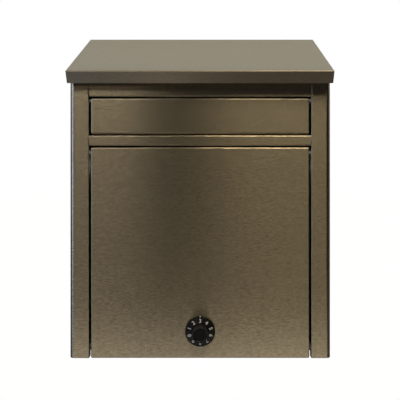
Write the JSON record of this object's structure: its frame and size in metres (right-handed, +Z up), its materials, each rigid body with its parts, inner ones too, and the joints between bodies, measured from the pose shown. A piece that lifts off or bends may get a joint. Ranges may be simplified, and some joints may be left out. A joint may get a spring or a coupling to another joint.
{
  "type": "wall-mounted parcel drop box",
  "caption": "Wall-mounted steel drop box with sloping hinged roof lid, hanging parcel baffle, inward mail flap, pivoting front door and dial combination lock.",
  "frame": {"origin": "centre of the four wall-screw holes, on the back panel's wall face; the bottom edge is 185 mm below it", "axes": "+X to the right seen from the front, +Y into the wall, the front looks towards -Y, +Z up"},
  "size_m": [0.3904, 0.2277, 0.5028],
  "materials": {
    "front_steel": "brushed across, warm tone, satin",
    "roof_steel": "satin, matter than the front",
    "inner_steel": "plain mill finish",
    "hinge_steel": "bright",
    "fastener_steel": "bright",
    "nylon": "natural nylon",
    "rubber_stop": "matte",
    "dial_black": "satin black, numbers light grey",
    "lock_brass": "turned",
    "lock_zinc": "die cast",
    "spacer_plastic": "matte"
  },
  "bodies": {
    "body": {"left_side_shell": "front_steel", "right_side_shell": "front_steel", "back_panel": "inner_steel", "floor_panel": "inner_steel", "top_fascia": "front_steel", "mid_rail": "front_steel", "lid_hinge_fixed_leaf": "hinge_steel", "lid_bumper_left": "rubber_stop", "lid_bumper_right": "rubber_stop", "flap_bushing_left": "nylon", "flap_bushing_right": "nylon", "door_bushing_left": "nylon", "door_bushing_right": "nylon", "door_bumper_left": "rubber_stop", "door_bumper_right": "rubber_stop", "shell_rivets": "fastener_steel", "floor_rivets": "fastener_steel", "front_rivets": "fastener_steel", "hinge_rivets": "fastener_steel"},
    "lid": {"lid_panel": "roof_steel", "parcel_baffle": "inner_steel", "lid_hinge_moving_leaf": "hinge_steel", "lid_hinge_pin": "hinge_steel", "lid_studs": "fastener_steel", "lid_nuts": "fastener_steel"},
    "flap": {"mail_flap": "front_steel", "flap_weight": "inner_steel", "flap_pivot_pin_left": "fastener_steel", "flap_pivot_pin_right": "fastener_steel"},
    "door": {"front_door": "front_steel", "door_stiffener": "inner_steel", "door_pivot_pin_left": "fastener_steel", "door_pivot_pin_right": "fastener_steel", "lock_base_ring": "dial_black", "lock_housing": "lock_zinc", "lock_cover": "lock_zinc", "lock_screws": "fastener_steel", "wheel_spacers": "spacer_plastic"},
    "dial": {"lock_dial": "dial_black", "dial_knob": "dial_black", "dial_spindle": "lock_brass", "drive_wheel": "lock_brass", "cam_washer": "fastener_steel", "cam_screw": "fastener_steel"},
    "tumbler_1": {"tumbler_wheel_1": "lock_brass"},
    "tumbler_2": {"tumbler_wheel_2": "lock_brass"},
    "tumbler_3": {"tumbler_wheel_3": "lock_brass"},
    "cam": {"lock_cam": "lock_zinc"}
  },
  "joints": [
    {"name": "lid_hinge", "type": "hinge", "parent": "body", "child": "lid", "pos_m": [0, -0.0042, 0.31353], "axis": [-1, 0, 0], "range_deg": [0, 60]},
    {"name": "flap_hinge", "type": "hinge", "parent": "body", "child": "flap", "pos_m": [0, -0.195, 0.196], "axis": [1, 0, 0], "range_deg": [0, 65]},
    {"name": "door_hinge", "type": "hinge", "parent": "body", "child": "door", "pos_m": [0, -0.193, 0.119], "axis": [-1, 0, 0], "range_deg": [0, 105]},
    {"name": "dial_spin", "type": "hinge", "parent": "door", "child": "dial", "pos_m": [0, -0.2, -0.145], "axis": [0, 1, 0], "continuous": true},
    {"name": "tumbler_1_spin", "type": "hinge", "parent": "door", "child": "tumbler_1", "pos_m": [0, -0.2, -0.145], "axis": [0, 1, 0], "continuous": true},
    {"name": "tumbler_2_spin", "type": "hinge", "parent": "door", "child": "tumbler_2", "pos_m": [0, -0.2, -0.145], "axis": [0, 1, 0], "continuous": true},
    {"name": "tumbler_3_spin", "type": "hinge", "parent": "door", "child": "tumbler_3", "pos_m": [0, -0.2, -0.145], "axis": [0, 1, 0], "continuous": true},
    {"name": "cam_turn", "type": "hinge", "parent": "door", "child": "cam", "pos_m": [0, -0.2, -0.145], "axis": [0, 1, 0], "range_deg": [0, 90]}
  ]
}
